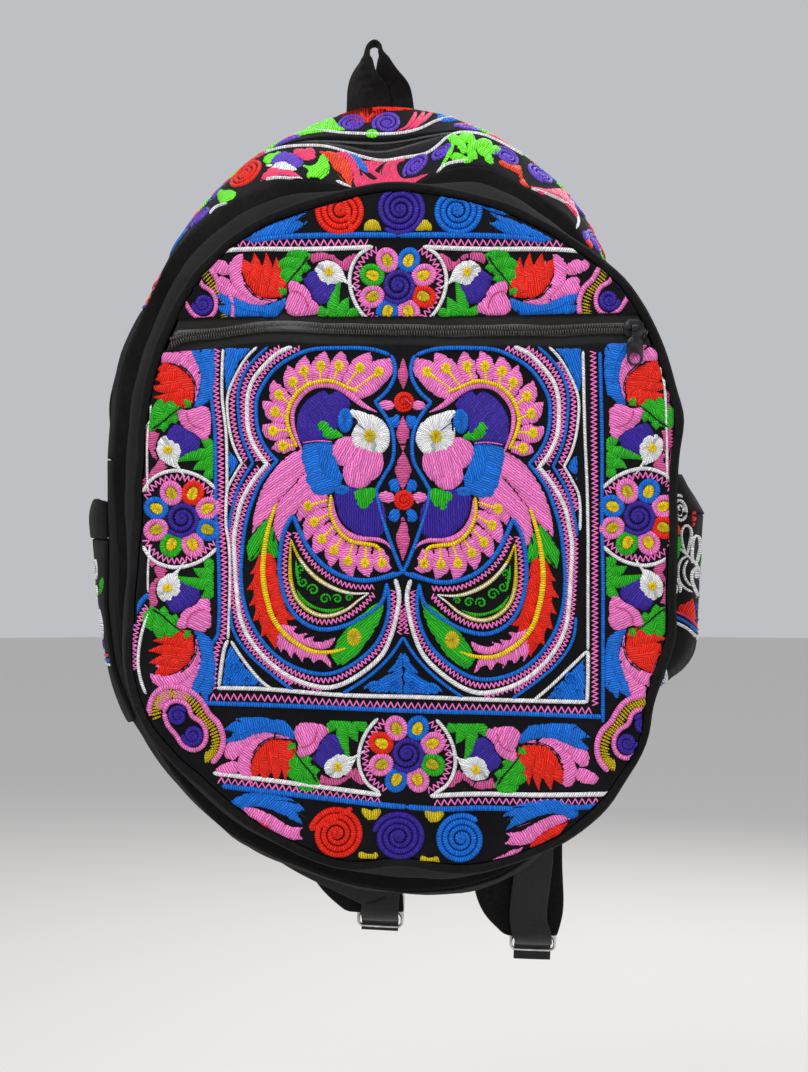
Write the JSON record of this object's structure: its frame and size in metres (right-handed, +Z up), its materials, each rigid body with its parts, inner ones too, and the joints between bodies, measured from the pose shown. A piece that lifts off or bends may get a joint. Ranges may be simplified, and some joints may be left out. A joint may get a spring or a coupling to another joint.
{
  "type": "embroidered rucksack",
  "caption": "Soft cotton rucksack with a zipped arch, a rounded front pocket covered in bird and flower embroidery, side pockets and padded straps, hanging by its loop.",
  "frame": {"origin": "inside the top of the hanging loop, where a hook carries the bag", "axes": "+Z up, +Y towards the wall behind the bag, +X to the right of a viewer who faces the embroidered pocket"},
  "size_m": [0.3313, 0.1707, 0.5199],
  "materials": {
    "black_cotton": "matte woven cotton",
    "embroidery": "satin stitch in many colours on black cotton",
    "bright_embroidery": "satin stitch in bright colours on black cotton",
    "zip_tape": "woven tape",
    "zip_coil": "nylon coil",
    "dark_metal": "dark grey, worn",
    "wire": "plated wire",
    "webbing": "ribbed webbing"
  },
  "bodies": {
    "bag": {"arch_strip_back": "bright_embroidery", "arch_strip_front": "bright_embroidery", "back_panel": "black_cotton", "base_gusset": "black_cotton", "front_panel": "black_cotton", "hang_loop": "webbing", "main_zip_coil": "zip_coil", "main_zip_slider": "dark_metal", "main_zip_tape": "zip_tape", "pocket_band": "black_cotton", "pocket_face_lower": "embroidery", "pocket_face_upper": "embroidery", "pocket_piping": "black_cotton", "pocket_zip_coil": "zip_coil", "pocket_zip_slider": "dark_metal", "pocket_zip_tape": "zip_tape", "shoulder_strap_left": "black_cotton", "shoulder_strap_right": "black_cotton", "side_pocket_hem_left": "black_cotton", "side_pocket_hem_right": "black_cotton", "side_pocket_left": "embroidery", "side_pocket_right": "embroidery", "side_strip_left_back": "black_cotton", "side_strip_left_front": "black_cotton", "side_strip_right_back": "black_cotton", "side_strip_right_front": "black_cotton", "strap_buckle_left": "wire", "strap_buckle_right": "wire", "strap_keeper_left": "webbing", "strap_keeper_right": "webbing", "strap_webbing_left": "webbing", "strap_webbing_right": "webbing"},
    "pocket_pull": {"pocket_zip_pull": "dark_metal"},
    "main_pull": {"main_zip_pull": "dark_metal"}
  },
  "joints": [
    {"name": "pocket_pull_hinge", "type": "hinge", "parent": "bag", "child": "pocket_pull", "pos_m": [0.131, -0.12525, -0.17201], "axis": [-1, 0, 0], "range_deg": [0, 150]},
    {"name": "main_pull_hinge", "type": "hinge", "parent": "bag", "child": "main_pull", "pos_m": [0.15408, -0.03792, -0.20475], "axis": [0, -1, 0], "range_deg": [0, 150]}
  ]
}
